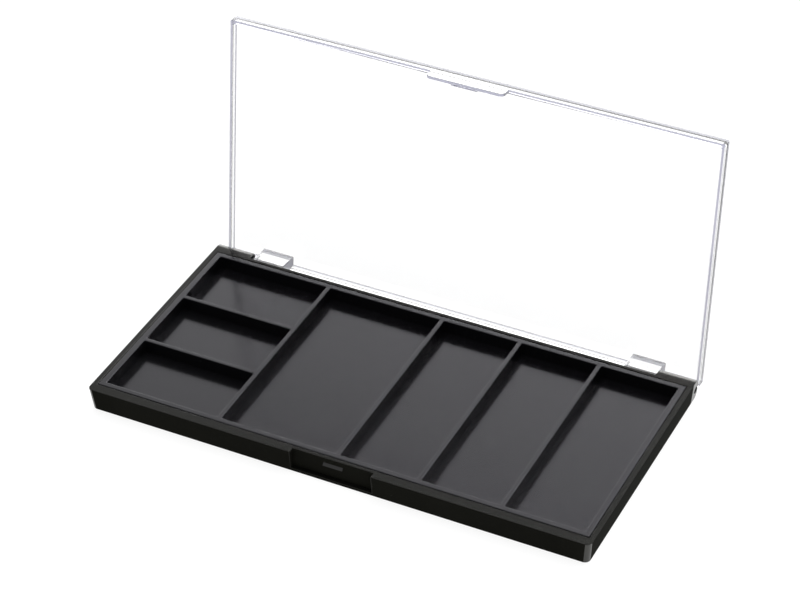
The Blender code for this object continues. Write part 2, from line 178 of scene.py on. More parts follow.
class LidSettings(bpy.types.PropertyGroup):
    side_inset: length("Side inset", "From the tray's side to the lid's side", 0.85 * MM)
    end_inset: length("End inset", "From the tray's front and rear to the lid's", 0.1 * MM)
    gap: length("Gap", "Between the closed lid's rim and the tray's top", 0.15 * MM)
    plate: length("Plate", "Thickness of the lid's plate", 1.5 * MM)
    rim_width: length("Rim width", "Thickness of the rim", 1.3 * MM)
    rim_height: length("Rim height", "How far the closed lid's rim hangs below the plate", 2.35 * MM)
    corner_radius: length("Corner radius", "Radius of the lid's corners", 0.8 * MM)
    rear_radius: length("Rear radius", "Rounding of the plate's rear edge", 1.2 * MM)
    lug_width: length("Lug width", "Width of each hinge lug", 11.7 * MM)
    lug_gap: length("Lug gap", "Between a lug and the knuckle beside it", 0.5 * MM)
    stop_gap: length("Stop gap", "Between the open lug's heel and the tray", 0.07 * MM)
    pin_clearance: length("Pin clearance", "Radial clearance of the pin in the lug", 0.08 * MM)
    tongue_gap: length("Tongue gap", "Between the tongue and the recess's sides", 0.35 * MM)
    tongue_drop: length("Tongue drop", "How far the tongue hangs below the rim", 4.1 * MM)
    tongue_thickness: length("Tongue thickness", "Thickness of the tongue", 1.1 * MM)
    tongue_radius: length("Tongue radius", "Radius of the tongue's corners", 2.0 * MM)
    bead_width: length("Bead width", "Width of the bead that snaps past the nub", 9.5 * MM)
    bead_height: length("Bead height", "Height of that bead", 0.9 * MM)
    catch_clearance: length("Catch clearance", "Between the bead and the nub", 0.15 * MM)
    edge: length("Edge", "Rounding of the lid's edges", 0.26 * MM)
    tint: colour("Colour", "Colour that thick plastic takes on", (0.70, 0.70, 0.84))
    # The edge colour and clarity set a painted glow: a light lavender body colour on the plate's edges, lugs
    # and tongue, standing for light carried through the plate.
    painted_glow_tint: colour("Edge colour", "Colour of the light from the plate's edges", (0.62, 0.62, 0.70))
    painted_glow_clarity: share("Edge clarity", "How clear the plate's edges are", 0.55)
    gloss: share("Roughness", "Roughness of the clear plastic", 0.015)
    refraction: refraction_index("Refraction", "Refraction index of the clear plastic", 1.55)
    absorption: number("Absorption", "Absorption of the clear plastic, per metre", 7.0)


class PinSettings(bpy.types.PropertyGroup):
    chamfer: length("Chamfer", "Chamfer at the pins' ends", 0.15 * MM)
    tint: colour("Colour", "Colour of the drawn steel wire", (0.52, 0.52, 0.53))
    gloss: share("Roughness", "Roughness of the steel", 0.28)


class StudioSettings(bpy.types.PropertyGroup):
    azimuth: angle("Azimuth", "Camera's angle to the right of the front", 26.9)
    elevation: angle("Elevation", "Camera's angle above the table", 37.3)
    roll: angle("Roll", "Camera's tilt about its own axis", -1.1)
    distance: length("Distance", "From the camera to the point it looks at", 0.932, high=10.0)
    aim: bpy.props.FloatVectorProperty(
        name="Aim",
        description="The point that the camera looks at",
        default=(-0.0062, 0.0208, 0.0280),
        size=3,
        subtype="TRANSLATION",
        unit="LENGTH",
    )
    lens: number("Lens", "Focal length in millimetres", 126.9, 10.0, 400.0)
    floor_tint: colour("Floor colour", "Colour of the table", (0.20, 0.20, 0.20))
    floor_glow: share("Floor glow", "Light that comes up through the table", 0.86, high=2.0)
    sky: share("Sky", "Strength of the light behind the palette and overhead", 2.3, high=5.0)
    sky_front: share("Front of the sky", "Level of the light on the viewer's side", 0.21)
    sky_top: share("Top of the sky", "Level of the light overhead", 0.30)
    sky_low: share("Foot of the sky", "Level of the light low down behind the palette", 1.85, high=5.0)
    key: number("Key light", "Power of the soft light overhead, in watts", 9.0)


# ---------------------------------------------------------------- mesh helpers


def object_from(name, bm):
    """A new object at the origin, with its faces pointing out."""
    bmesh.ops.recalc_face_normals(bm, faces=bm.faces)
    mesh = bpy.data.meshes.new(name)
    bm.to_mesh(mesh)
    bm.free()
    made = bpy.data.objects.new(name, mesh)
    bpy.context.scene.collection.objects.link(made)
    return made


def box_bmesh(low, high):
    bm = bmesh.new()
    bmesh.ops.create_cube(bm, size=1.0)
    low, size = Vector(low), Vector(high) - Vector(low)
    for vert in bm.verts:
        vert.co = low + (vert.co + Vector((0.5, 0.5, 0.5))) * size
    return bm


def round_edges(bm, radius, edges, segments=ARC_SEGMENTS):
    bmesh.ops.bevel(
        bm, geom=edges, offset=radius, offset_type="OFFSET", segments=segments, profile=0.5, affect="EDGES"
    )


def edges_where(bm, chosen):
    """The edges whose two ends both pass the test."""
    return [edge for edge in bm.edges if all(chosen(vert.co) for vert in edge.verts)]


def uprights(bm, least, chosen=lambda co: True):
    """The upright edges longer than the least length, where both ends pass the test."""
    return [e for e in edges_where(bm, chosen) if abs(e.verts[0].co.z - e.verts[1].co.z) > least]


def arc(centre, radius, start, end):
    """Points along an arc, with the angles in degrees."""
    angles = [math.radians(start + (end - start) * step / ARC_SEGMENTS) for step in range(ARC_SEGMENTS + 1)]
    return [(centre[0] + radius * math.cos(a), centre[1] + radius * math.sin(a)) for a in angles]


def prism(name, outline, place, low, high):
    """A flat outline drawn out from low to high. place turns (across, up, along) into a point."""
    bm = bmesh.new()
    ends = [[bm.verts.new(place(u, v, along)) for u, v in outline] for along in (low, high)]
    for ring in ends:
        bm.faces.new(ring)
    for index in range(len(outline)):
        after = (index + 1) % len(outline)
        bm.faces.new((ends[0][index], ends[0][after], ends[1][after], ends[1][index]))
    return object_from(name, bm)


def along_x(across, up, along):
    return (along, across, up)


def along_y(across, up, along):
    return (across, along, up)


def rod(name, radius, low, high, sides=48):
    """A cylinder on the hinge axis, from one X to another."""
    outline = [(AXIS.y + radius * math.cos(2 * math.pi * i / sides),
                AXIS.z + radius * math.sin(2 * math.pi * i / sides)) for i in range(sides)]
    return prism(name, outline, along_x, low, high)


def combine(target, tool, operation):
    """One Boolean, applied at once. The tool is used up."""
    modifier = target.modifiers.new(operation, "BOOLEAN")
    modifier.operation = operation
    modifier.solver = "EXACT"
    modifier.object = tool
    bake(target)
    bpy.data.objects.remove(tool)


def bake(target):
    """Turns the object's modifiers into plain mesh."""
    graph = bpy.context.evaluated_depsgraph_get()
    mesh = bpy.data.meshes.new_from_object(target.evaluated_get(graph))
    target.modifiers.clear()
    target.data = mesh


def clean(target, flat=math.radians(0.5)):
    """Merges doubles and the flat faces that Booleans leave split."""
    bm = bmesh.new()
    bm.from_mesh(target.data)
    bmesh.ops.remove_doubles(bm, verts=bm.verts, dist=1e-6)
    bmesh.ops.dissolve_limit(
        bm, angle_limit=flat, verts=bm.verts, edges=bm.edges, use_dissolve_boundaries=False
    )
    bm.to_mesh(target.data)
    bm.free()


def divide_at(target, y):
    """Cuts the flat faces in two at one Y, so that each side can have its own material."""
    bm = bmesh.new()
    bm.from_mesh(target.data)
    everything = bm.verts[:] + bm.edges[:] + bm.faces[:]
    bmesh.ops.bisect_plane(bm, geom=everything, dist=1e-6, plane_co=(0, y, 0), plane_no=(0, 1, 0))
    bm.to_mesh(target.data)
    bm.free()


def mark_outer_edges(target):
    """Gives each sharp edge that sticks out a bevel weight, and marks the inner corners sharp."""
    bm = bmesh.new()
    bm.from_mesh(target.data)
    weight = bm.edges.layers.float.new("bevel_weight_edge")
    for edge in bm.edges:
        if edge.calc_face_angle() < SHARP_ANGLE:
            continue
        if edge.is_convex:
            edge[weight] = 1.0
        else:
            edge.smooth = False
    bm.to_mesh(target.data)
    bm.free()


def soften_edges(target, width, segments=3, outer_only=False):
    """Rounds each sharp edge and keeps the flat faces flat."""
    target.data.shade_smooth()
    if outer_only:
        mark_outer_edges(target)
    bevel = target.modifiers.new("edges", "BEVEL")
    bevel.width = width
    bevel.segments = segments
    bevel.limit_method = "WEIGHT" if outer_only else "ANGLE"
    bevel.angle_limit = SHARP_ANGLE
    bevel.miter_outer = "MITER_ARC"
    bevel.use_clamp_overlap = False
    bevel.harden_normals = True
    bake(target)


def finish_piece(target, body, slot, *nodes):
    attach(target, body)
    if nodes:
        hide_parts(*nodes)


# ---------------------------------------------------------------- node helpers


def feed(tree, socket, value):
    """Sets an input from a value, or links it from a socket."""
    if isinstance(value, bpy.types.NodeSocket):
        tree.links.new(value, socket)
    else:
        socket.default_value = value


def add_node(tree, kind, inputs=None, **settings):
    """A node with its settings and inputs. An input is a value, or a socket to link from."""
    made = tree.nodes.new(kind)
    for name, value in settings.items():
        setattr(made, name, value)
    for key, value in (inputs or {}).items():
        feed(tree, made.inputs[key], value)
    return made


def calc(tree, operation, first, second=0.0, third=0.0):
    values = {0: first, 1: second, 2: third}
    return add_node(tree, "ShaderNodeMath", values, operation=operation).outputs[0]


def vector(tree, x=0.0, y=0.0, z=0.0):
    return add_node(tree, "ShaderNodeCombineXYZ", {"X": x, "Y": y, "Z": z}).outputs[0]


def ramp(tree, fac, stops):
    """A colour ramp from (place, grey level) stops."""
    made = add_node(tree, "ShaderNodeValToRGB", {"Fac": fac})
    elements = made.color_ramp.elements
    elements[0].position, elements[1].position = stops[0][0], stops[-1][0]
    for place, _level in stops[1:-1]:
        elements.new(place)
    for element, (_place, level) in zip(elements, stops):
        element.color = (level, level, level, 1.0)
    return made.outputs["Color"]


def object_coordinates(tree, scale=(1.0, 1.0, 1.0), turn=(0.0, 0.0, 0.0)):
    source = add_node(tree, "ShaderNodeTexCoord").outputs["Object"]
    return add_node(
        tree, "ShaderNodeMapping", {"Vector": source, "Scale": scale, "Rotation": turn}
    ).outputs[0]


def new_material(name):
    made = bpy.data.materials.new(name)
    made.use_nodes = True
    tree = made.node_tree
    return made, tree, tree.nodes["Principled BSDF"]


# ---------------------------------------------------------------- materials


def blend(tree, factor, first, second, kind="MIX"):
    """A mix of two colours, each a colour or a socket."""
    made = add_node(tree, "ShaderNodeMix", {"Factor": factor}, data_type="RGBA", blend_type=kind)
    for index, given in ((6, first), (7, second)):
        feed(tree, made.inputs[index], given if isinstance(given, bpy.types.NodeSocket) else (*given, 1.0))
    return made.outputs[2]


def noise(tree, coordinates, scale, detail=2.0, roughness=0.5):
    return add_node(
        tree,
        "ShaderNodeTexNoise",
        {"Vector": coordinates, "Scale": scale, "Detail": detail, "Roughness": roughness},
    ).outputs["Fac"]


def scratches(tree, scale, turn, density):
    """Fine straight hairline scratches in one direction, white on black."""
    stretched = object_coordinates(tree, scale=(scale, scale * 0.035, scale * 0.5), turn=(0.0, 0.0, turn))
    lines = noise(tree, stretched, 1.0, detail=1.0)
    return ramp(tree, lines, ((density, 0.0), (density + 0.012, 1.0), (density + 0.024, 0.0)))


def specks(tree, scale, size, share_kept):
    """Dust: a small dot in some of the cells."""
    cells = add_node(
        tree, "ShaderNodeTexVoronoi", {"Vector": object_coordinates(tree), "Scale": scale, "Randomness": 1.0}
    )
    dot = calc(tree, "LESS_THAN", cells.outputs["Distance"], size)
    kind = add_node(tree, "ShaderNodeSeparateColor", {"Color": cells.outputs["Color"]}).outputs[0]
    return calc(tree, "MULTIPLY", dot, calc(tree, "LESS_THAN", kind, share_kept))


DUST = (0.09, 0.09, 0.088)
PLASTIC_REFRACTION = 1.5

# The mould's surface, as the strength of its grain and the grain's fineness.
ROUGH_MOULD = (0.25, 900.0)
DULL_MOULD = (0.2, 900.0)
SATIN_MOULD = (0.5, 5200.0)
FINE_MOULD = (0.1, 900.0)
FLOOR_MOULD = (0.16, 800.0)


def black_plastic(name, tint, sheen, gloss, mould, refraction=PLASTIC_REFRACTION, shine=0.5):
    """Moulded black plastic: faint flow marks, orange peel, hairline scratches and a little dust."""
    made, tree, shader = new_material(name)
    plain = object_coordinates(tree)
    flow = noise(tree, plain, 55.0, detail=3.0)
    dust = specks(tree, 420.0, 0.035, 0.10)
    lines = calc(tree, "MAXIMUM", scratches(tree, 900.0, 0.5, 0.655), scratches(tree, 760.0, -0.9, 0.665))
    deep = blend(tree, flow, [c * 0.75 for c in tint], [c * 1.3 for c in tint])
    marks = calc(tree, "MAXIMUM", calc(tree, "MULTIPLY", lines, 0.04), dust)
    tree.links.new(blend(tree, marks, deep, DUST), shader.inputs["Base Color"])
    wear = calc(tree, "MULTIPLY_ADD", lines, 0.06, calc(tree, "MULTIPLY_ADD", flow, 0.06, gloss - 0.03))
    tree.links.new(calc(tree, "MULTIPLY_ADD", dust, 0.5, wear), shader.inputs["Roughness"])
    shader.inputs["IOR"].default_value = refraction
    shader.inputs["Specular IOR Level"].default_value = shine
    shader.inputs["Specular Tint"].default_value = (*sheen, 1.0)
    grain, fineness = mould
    peel = noise(tree, plain, fineness)
    raised = calc(tree, "MULTIPLY_ADD", dust, 0.6, calc(tree, "MULTIPLY_ADD", lines, -0.3, peel))
    bump = add_node(
        tree, "ShaderNodeBump", {"Height": raised, "Strength": grain, "Distance": 0.02 * MM}
    )
    tree.links.new(bump.outputs[0], shader.inputs["Normal"])
    return made


def clear_plastic(name, settings, clarity=1.0):
    """Clear polished plastic, faintly wavy and scratched. Less clarity paints a glow in the edge colour, as a
    lit body colour mixed into the clear plastic.
    """
    made, tree, shader = new_material(name)
    plain = object_coordinates(tree)
    smear = noise(tree, plain, 38.0, detail=4.0, roughness=0.6)
    lines = calc(tree, "MAXIMUM", scratches(tree, 620.0, 0.35, 0.675), scratches(tree, 540.0, -0.6, 0.68))
    # With less clarity, the body takes the edge colour: painted glow.
    body = (1.0, 1.0, 1.0) if clarity == 1.0 else settings.painted_glow_tint
    shader.inputs["Base Color"].default_value = (*body, 1.0)
    shader.inputs["Transmission Weight"].default_value = clarity
    shader.inputs["IOR"].default_value = settings.refraction
    worn = calc(tree, "MULTIPLY_ADD", lines, 0.10, settings.gloss)
    haze = calc(tree, "MULTIPLY", ramp(tree, smear, ((0.52, 0.0), (0.75, 1.0))), 0.02)
    tree.links.new(calc(tree, "ADD", worn, haze), shader.inputs["Roughness"])
    wave = noise(tree, plain, 60.0, detail=1.0)
    bump = add_node(tree, "ShaderNodeBump", {"Height": wave, "Strength": 0.25, "Distance": 0.03 * MM})
    tree.links.new(bump.outputs[0], shader.inputs["Normal"])
    volume = add_node(tree, "ShaderNodeVolumeAbsorption")
    volume.inputs["Color"].default_value = (*settings.tint, 1.0)
    volume.inputs["Density"].default_value = settings.absorption
    tree.links.new(volume.outputs[0], tree.nodes["Material Output"].inputs["Volume"])
    return made


def drawn_steel(name, settings):
    """Drawn wire: long fine streaks along the pin."""
    made, tree, shader = new_material(name)
    streaks = noise(tree, object_coordinates(tree, scale=(60.0, 5200.0, 5200.0)), 1.0, detail=3.0)
    shade = ramp(tree, streaks, ((0.3, 0.80), (0.7, 1.0)))
    tree.links.new(blend(tree, 1.0, settings.tint, shade, "MULTIPLY"), shader.inputs["Base Color"])
    shader.inputs["Metallic"].default_value = 1.0
    tree.links.new(
        calc(tree, "MULTIPLY_ADD", streaks, 0.2, settings.gloss - 0.1), shader.inputs["Roughness"]
    )
    bump = add_node(tree, "ShaderNodeBump", {"Height": streaks, "Strength": 0.2, "Distance": 0.01 * MM})
    tree.links.new(bump.outputs[0], shader.inputs["Normal"])
    return made


# ---------------------------------------------------------------- tray


def lean_in(bm, draft, front_y=None):
    """Draws the outer side faces, and the front face where there is one, in at the bottom."""
    middle = (TRAY_LOW.z + TRAY_HIGH.z) / 2
    for vert in bm.verts:
        if vert.co.z > middle:
            continue
        if abs(abs(vert.co.x) - TRAY_HIGH.x) < 1e-7:
            vert.co.x -= math.copysign(draft, vert.co.x)
        if front_y is not None and abs(vert.co.y - front_y) < 1e-7:
            vert.co.y += draft


def add_knuckle(shell, tray, side, label):
    rear_y = TRAY_HIGH.y - tray.knuckle_depth
    spans = sorted((side * TRAY_HIGH.x, side * (TRAY_HIGH.x - tray.knuckle_width)))
    bm = box_bmesh((spans[0], rear_y - tray.rear_wall / 2, TRAY_LOW.z), (spans[1], TRAY_HIGH.y, TRAY_HIGH.z))
    lean_in(bm, tray.draft)
    rear = TRAY_HIGH.y - 1e-7
    middle = (TRAY_LOW.z + TRAY_HIGH.z) / 2
    round_edges(bm, tray.knuckle_top_radius, edges_where(bm, lambda co: co.y > rear and co.z > middle))
    low = TRAY_LOW.z + HAIR
    round_edges(bm, tray.knuckle_bottom_radius, edges_where(bm, lambda co: co.y > rear and co.z < low))
    combine(shell, object_from("knuckle_" + label, bm), "UNION")


def finish_tray(shell, tray):
    """Gives the tray a glossy rim. The outer walls get a copy of the black plastic that hardly reflects, which
    paints shade over their satin grain. The rounds and knuckle ends get a strongly reflecting copy, which
    paints highlights.
    """
    shell.data.materials.clear()
    tint, painted_shade_wall_tint, sheen = tray.tint, tray.painted_shade_wall_tint, tray.sheen
    # The second and third finishes are copies of the black plastic. One hardly reflects and paints shade; the
    # other reflects strongly and paints highlights.
    finishes = (
        black_plastic("tray_black", tint, sheen, tray.gloss, ROUGH_MOULD, shine=tray.shine),
        black_plastic("tray_painted_shade_satin", painted_shade_wall_tint, sheen, tray.wall_gloss, SATIN_MOULD, tray.shade_painting_refraction),
        black_plastic("tray_painted_highlight_polished", tint, sheen, tray.round_gloss, FINE_MOULD, shine=tray.painted_highlight_shine),
    )
    for finish in finishes:
        shell.data.materials.append(finish)
    glossy, satin, polished = range(len(finishes))
    rear_y = TRAY_HIGH.y - tray.knuckle_depth
    for face in shell.data.polygons:
        # Knuckle backs and ends and the front corners take the painted-highlight copy. The outer walls take the
        # painted-shade copy.
        if face.center.y > rear_y:
            face.material_index = polished if is_knuckle_round(face) else glossy
        elif is_corner(face, tray):
            face.material_index = polished
        elif is_outer_wall(face, tray):
            face.material_index = satin


def is_outer_wall(face, tray):
    """True on the front wall, in the finger recess and on the side walls."""
    recess_y = TRAY_LOW.y + tray.recess_depth + 0.1 * MM
    if face.center.y < recess_y and face.normal.y < -SQUARE_ON:
        return True
    if face.center.y < recess_y and abs(face.center.x) < tray.recess_width and abs(face.normal.x) > 0.9:
        return True
    return abs(face.center.x) > TRAY_HIGH.x - 1.5 * tray.draft and abs(face.normal.x) > SQUARE_ON


def is_knuckle_round(face):
    """True on the knuckle's rounded back and on its end faces."""
    back = face.normal.y > 0.03 and face.normal.z > -0.5
    end = abs(face.normal.x) > SQUARE_ON
    return (back or end) and face.center.z < TRAY_HIGH.z - HAIR


def is_corner(face, tray):
    """True on the round upright corners at the front."""
    beside = face.center.y < TRAY_LOW.y + tray.corner_radius and abs(face.center.x) > tray.recess_width
    slanted = max(abs(face.normal.x), abs(face.normal.y)) < SQUARE_ON and abs(face.normal.z) < 0.3
    return beside and slanted and face.center.z < TRAY_HIGH.z - HAIR


class PALETTE_OT_tray(bpy.types.Operator):
    """Build the tray with its hinge knuckles, finger recess and catch nub"""

    bl_idname = "palette.tray"
    bl_label = "Tray"
    bl_options = {"REGISTER", "UNDO"}

    def execute(self, context):
        tray = context.scene.palette_tray
        rear_y = TRAY_HIGH.y - tray.knuckle_depth
        bm = box_bmesh(TRAY_LOW, (TRAY_HIGH.x, rear_y, TRAY_HIGH.z))
        lean_in(bm, tray.draft, TRAY_LOW.y)
        front = TRAY_LOW.y + tray.draft + 1e-6
        round_edges(bm, tray.corner_radius, uprights(bm, TRAY_HIGH.z / 2, lambda co: co.y < front))
        shell = object_from("tray_shell", bm)
        for side, label in SIDES:
            add_knuckle(shell, tray, side, label)
        cavity = box_bmesh(
            (TRAY_LOW.x + tray.side_wall, TRAY_LOW.y + tray.front_wall, TRAY_LOW.z + tray.floor),
            (TRAY_HIGH.x - tray.side_wall, rear_y - tray.rear_wall, TRAY_HIGH.z + OVERRUN),
        )
        combine(shell, object_from("cavity", cavity), "DIFFERENCE")
        recess = box_bmesh(
            (-tray.recess_width / 2, TRAY_LOW.y - OVERRUN, TRAY_LOW.z + tray.recess_ledge),
            (tray.recess_width / 2, TRAY_LOW.y + tray.recess_depth, TRAY_HIGH.z + OVERRUN),
        )
        combine(shell, object_from("recess", recess), "DIFFERENCE")
        for side, _label in SIDES:
            outer = TRAY_HIGH.x + OVERRUN
            inner = TRAY_HIGH.x - tray.knuckle_width - OVERRUN / 4
            hole = PIN_HIGH.z - AXIS.z + tray.pin_clearance
            combine(shell, rod("hole", hole, *sorted((side * outer, side * inner))), "DIFFERENCE")
            mouth = TRAY_HIGH.x - tray.pin_mouth_depth
            combine(shell, rod("mouth", tray.pin_mouth, *sorted((side * outer, side * mouth))), "DIFFERENCE")
        clean(shell)
        divide_at(shell, rear_y)
        soften_edges(shell, tray.edge, outer_only=True)
        finish_tray(shell, tray)
        finish_piece(shell, "base", "tray_black", "base_shell")
        self.add_nub(tray)
        return {"FINISHED"}

    def add_nub(self, tray):
        """The wedge that the lid's bead snaps past, with a long slope on top."""
        back = TRAY_LOW.y + tray.recess_depth
        root = back + tray.nub_root
        top = TRAY_HIGH.z - tray.nub_drop
        low = top - tray.nub_height
        apex = (back - tray.nub_reach, low + tray.nub_lip)
        outline = [(root, low), (back, low), apex, (back, top), (root, top)]
        nub = prism("catch_nub", outline, along_x, -tray.nub_width / 2, tray.nub_width / 2)
        soften_edges(nub, tray.nub_edge, segments=2)
        nub.data.materials.append(bpy.data.materials["tray_black"])
        finish_piece(nub, "base", "tray_black")


# ---------------------------------------------------------------- well insert


def pocket_group():
    """A box with round upright corners, standing on Z = 0 and centred in X and Y."""
    group = bpy.data.node_groups.new("rounded_pocket", "GeometryNodeTree")
    for name in ("Width", "Depth", "Height", "Radius"):
        group.interface.new_socket(name, in_out="INPUT", socket_type="NodeSocketFloat")
    group.interface.new_socket("Pocket", in_out="OUTPUT", socket_type="NodeSocketGeometry")
    given = group.nodes.new("NodeGroupInput").outputs
    outline = add_node(
        group, "GeometryNodeCurvePrimitiveQuadrilateral", {"Width": given["Width"], "Height": given["Depth"]}
    )
    rounded = add_node(
        group,
        "GeometryNodeFilletCurve",
        {"Curve": outline.outputs[0], "Radius": given["Radius"], "Count": 5},
        mode="POLY",
    )
    filled = add_node(group, "GeometryNodeFillCurve", {"Curve": rounded.outputs[0]}, mode="NGONS")
    raised = add_node(
        group,
        "GeometryNodeExtrudeMesh",
        {"Mesh": filled.outputs[0], "Offset": vector(group, z=given["Height"]), "Individual": False},
    )
    turned = add_node(group, "GeometryNodeFlipFaces", {"Mesh": filled.outputs[0]})
    both = group.nodes.new("GeometryNodeJoinGeometry")
    group.links.new(turned.outputs[0], both.inputs[0])
    group.links.new(raised.outputs["Mesh"], both.inputs[0])
    merged = add_node(group, "GeometryNodeMergeByDistance", {"Geometry": both.outputs[0], "Distance": 1e-6})
    group.links.new(merged.outputs[0], group.nodes.new("NodeGroupOutput").inputs[0])
    return group


class WellTree:
    """The node tree of the insert: a block, less a pocket for each well and a relief under each column."""

    lengths = ("Width", "Depth", "Height", "Side Rim", "End Rim", "Divider", "Wide Well", "Well Depth")
    lengths += ("Well Floor", "Corner Radius")
    counts = ("Small Wells", "Narrow Wells")

    def __init__(self):
        self.tree = bpy.data.node_groups.new("well_insert", "GeometryNodeTree")
        self.pocket_group = pocket_group()
        face = self.tree.interface
        face.new_socket("Geometry", in_out="INPUT", socket_type="NodeSocketGeometry")
        for name in self.lengths:
            face.new_socket(name, in_out="INPUT", socket_type="NodeSocketFloat").subtype = "DISTANCE"
        for name in self.counts:
            face.new_socket(name, in_out="INPUT", socket_type="NodeSocketInt")
        face.new_socket("Material", in_out="INPUT", socket_type="NodeSocketMaterial")
        face.new_socket("Geometry", in_out="OUTPUT", socket_type="NodeSocketGeometry")
        self.given = self.tree.nodes.new("NodeGroupInput").outputs
        self.build()

    def sum(self, *terms):
        """The sum of sockets or numbers."""
        total = terms[0]
        for term in terms[1:]:
            total = calc(self.tree, "ADD", total, term)
        return total

    def times(self, first, second):
        return calc(self.tree, "MULTIPLY", first, second)

    def less(self, first, second):
        return calc(self.tree, "SUBTRACT", first, second)

    def pocket(self, width, depth, height, radius):
        made = self.tree.nodes.new("GeometryNodeGroup")
        made.node_tree = self.pocket_group
        for name, value in (("Width", width), ("Depth", depth), ("Height", height), ("Radius", radius)):
            feed(self.tree, made.inputs[name], value)
        return made.outputs[0]

    def row(self, shape, count, start, step):
        """Copies of a shape at equal steps."""
        line = add_node(
            self.tree, "GeometryNodeMeshLine", {"Count": count, "Start Location": start, "Offset": step}
        )
        made = add_node(
            self.tree, "GeometryNodeInstanceOnPoints", {"Points": line.outputs[0], "Instance": shape}
        )
        return made.outputs[0]

    def build(self):
        tree, given = self.tree, self.given
        divider = given["Divider"]
        span_x = self.less(given["Width"], self.times(given["Side Rim"], 2.0))
        span_y = self.less(given["Depth"], self.times(given["End Rim"], 2.0))
        left = self.times(span_x, -0.5)
        front = self.times(span_y, -0.5)
        wides = self.times(self.sum(given["Wide Well"], divider), 2.0)
        rest = self.less(span_x, wides)
        gaps = self.times(divider, self.less(given["Narrow Wells"], 1.0))
        narrow = calc(tree, "DIVIDE", self.less(rest, gaps), given["Narrow Wells"])
        row_gaps = self.times(divider, self.less(given["Small Wells"], 1.0))
        small = calc(tree, "DIVIDE", self.less(span_y, row_gaps), given["Small Wells"])
        first_x = self.sum(left, self.times(given["Wide Well"], 0.5))
        second_x = self.sum(first_x, given["Wide Well"], divider)
        third_x = self.sum(left, wides, self.times(narrow, 0.5))
        floor = self.less(given["Height"], given["Well Depth"])
        height = self.sum(given["Well Depth"], OVERRUN)
        radius = given["Corner Radius"]
        step_x = vector(tree, x=self.sum(narrow, divider))
        step_y = vector(tree, y=self.sum(small, divider))
        start_y = self.sum(front, self.times(small, 0.5))
        wells = (
            self.row(self.pocket(given["Wide Well"], small, height, radius), given["Small Wells"],
                     vector(tree, x=first_x, y=start_y, z=floor), step_y),
            self.row(self.pocket(given["Wide Well"], span_y, height, radius), 1,
                     vector(tree, x=second_x, z=floor), step_x),
            self.row(self.pocket(narrow, span_y, height, radius), given["Narrow Wells"],
                     vector(tree, x=third_x, z=floor), step_x),
        )
        relief = self.sum(self.less(floor, given["Well Floor"]), OVERRUN)
        low = -OVERRUN
        wide_step = vector(tree, x=self.sum(given["Wide Well"], divider))
        reliefs = (
            self.row(self.pocket(given["Wide Well"], span_y, relief, radius), 2,
                     vector(tree, x=first_x, z=low), wide_step),
            self.row(self.pocket(narrow, span_y, relief, radius), given["Narrow Wells"],
                     vector(tree, x=third_x, z=low), step_x),
        )
        cutters = tree.nodes.new("GeometryNodeJoinGeometry")
        for socket in wells + reliefs:
            tree.links.new(socket, cutters.inputs[0])
        tools = add_node(tree, "GeometryNodeRealizeInstances", {"Geometry": cutters.outputs[0]})
        size = vector(tree, given["Width"], given["Depth"], given["Height"])
        block = add_node(tree, "GeometryNodeMeshCube", {"Size": size})
        lifted = add_node(
            tree,
            "GeometryNodeTransform",
            {"Geometry": block.outputs[0], "Translation": vector(tree, z=self.times(given["Height"], 0.5))},
        )
        cut = add_node(
            tree,
            "GeometryNodeMeshBoolean",
            {"Mesh 1": lifted.outputs[0], "Mesh 2": tools.outputs[0]},
            operation="DIFFERENCE",
            solver="EXACT",
        )
        real = add_node(tree, "GeometryNodeRealizeInstances", {"Geometry": cut.outputs[0]})
        painted = add_node(
            tree, "GeometryNodeSetMaterial", {"Geometry": real.outputs[0], "Material": given["Material"]}
        )
        tree.links.new(painted.outputs[0], tree.nodes.new("NodeGroupOutput").inputs[0])


def set_input(modifier, name, value):
    """Sets a node tree's named input on its modifier, by the socket's identifier."""
    for item in modifier.node_group.interface.items_tree:
        if item.item_type == "SOCKET" and item.in_out == "INPUT" and item.name == name:
            modifier[item.identifier] = value
            return
    raise KeyError(name)


